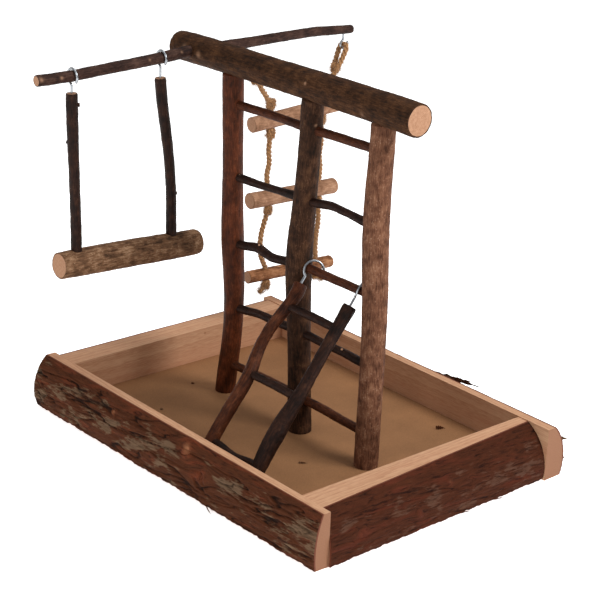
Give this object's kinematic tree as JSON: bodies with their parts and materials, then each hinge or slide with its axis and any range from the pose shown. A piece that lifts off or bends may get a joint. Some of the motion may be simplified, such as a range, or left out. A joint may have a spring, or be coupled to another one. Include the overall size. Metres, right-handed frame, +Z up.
{
  "type": "parrot play stand",
  "caption": "Bark-edged tray with a branch climbing frame, top beam, cross arm, hanging swing, lean-to ladder and rope ladder for small parrots.",
  "frame": {"origin": "on the surface that the tray stands on, at the middle of the whole object", "axes": "+X along the long slabs and the top beam, from the cross arm's end to the plain end; +Y from the swing and lean-to ladder to the rope ladder; +Z up"},
  "size_m": [0.4073, 0.364, 0.3542],
  "materials": {
    "bark slab": "rough",
    "fibreboard": "matte",
    "red brown branch": "matte",
    "dark branch": "matte",
    "black branch": "satin",
    "mottled log": "matte",
    "pale branch": "matte",
    "orange branch": "matte",
    "bare wood": "matte",
    "jute rope": "matte",
    "zinc steel": "satin"
  },
  "bodies": {
    "stand": {"front_slab": "bark slab", "rear_slab": "bark slab", "left_slab": "bark slab", "right_slab": "bark slab", "floor_panel": "fibreboard", "corner_nails": "zinc steel", "floor_nails": "zinc steel", "left_post": "red brown branch", "middle_post": "dark branch", "right_post": "red brown branch", "top_beam": "dark branch", "cross_arm": "dark branch", "post_screws": "zinc steel", "beam_dowels": "bare wood", "inner_rope_hook": "zinc steel", "outer_rope_hook": "zinc steel", "left_rung_1": "black branch", "left_rung_2": "black branch", "left_rung_3": "black branch", "left_rung_4": "black branch", "left_rung_5": "black branch", "right_rung_1": "black branch", "right_rung_2": "black branch", "right_rung_3": "black branch", "right_rung_4": "black branch", "right_rung_5": "black branch"},
    "swing": {"swing_log": "mottled log", "swing_rod_front": "dark branch", "swing_rod_back": "dark branch", "swing_hook_front": "zinc steel", "swing_hook_back": "zinc steel"},
    "ladder": {"ladder_stile_left": "black branch", "ladder_stile_right": "black branch", "ladder_rung_1": "black branch", "ladder_rung_2": "black branch", "ladder_rung_3": "black branch", "ladder_hook_left": "zinc steel", "ladder_hook_right": "zinc steel"},
    "upper_perch": {"rope_upper_inner": "jute rope", "rope_upper_outer": "jute rope", "loop_knots": "jute rope", "rope_perch_1": "pale branch", "perch_1_knots": "jute rope"},
    "middle_perch": {"rope_middle_inner": "jute rope", "rope_middle_outer": "jute rope", "rope_perch_2": "pale branch", "perch_2_knots": "jute rope"},
    "lower_perch": {"rope_lower_inner": "jute rope", "rope_lower_outer": "jute rope", "rope_perch_3": "orange branch", "perch_3_knots": "jute rope"}
  },
  "joints": [
    {"name": "swing_hang", "type": "hinge", "parent": "stand", "child": "swing", "pos_m": [-0.145, -0.1425, 0.3335], "axis": [0, 0.9989, 0.0459], "range_deg": [-9, 60]},
    {"name": "ladder_lift", "type": "slide", "parent": "stand", "child": "ladder", "axis": [0, 0, 1], "range_m": [0, 0.012]},
    {"name": "upper_perch_hang", "type": "hinge", "parent": "stand", "child": "upper_perch", "pos_m": [-0.145, 0.0845, 0.3205], "axis": [0, 1, 0], "range_deg": [-35, 35]},
    {"name": "middle_perch_hang", "type": "hinge", "parent": "upper_perch", "child": "middle_perch", "pos_m": [-0.145, 0.0845, 0.248], "axis": [0, 0.9982, 0.0594], "range_deg": [-25, 25]},
    {"name": "lower_perch_hang", "type": "hinge", "parent": "middle_perch", "child": "lower_perch", "pos_m": [-0.145, 0.0845, 0.1695], "axis": [0, 0.9997, -0.0244], "range_deg": [-25, 25]}
  ]
}
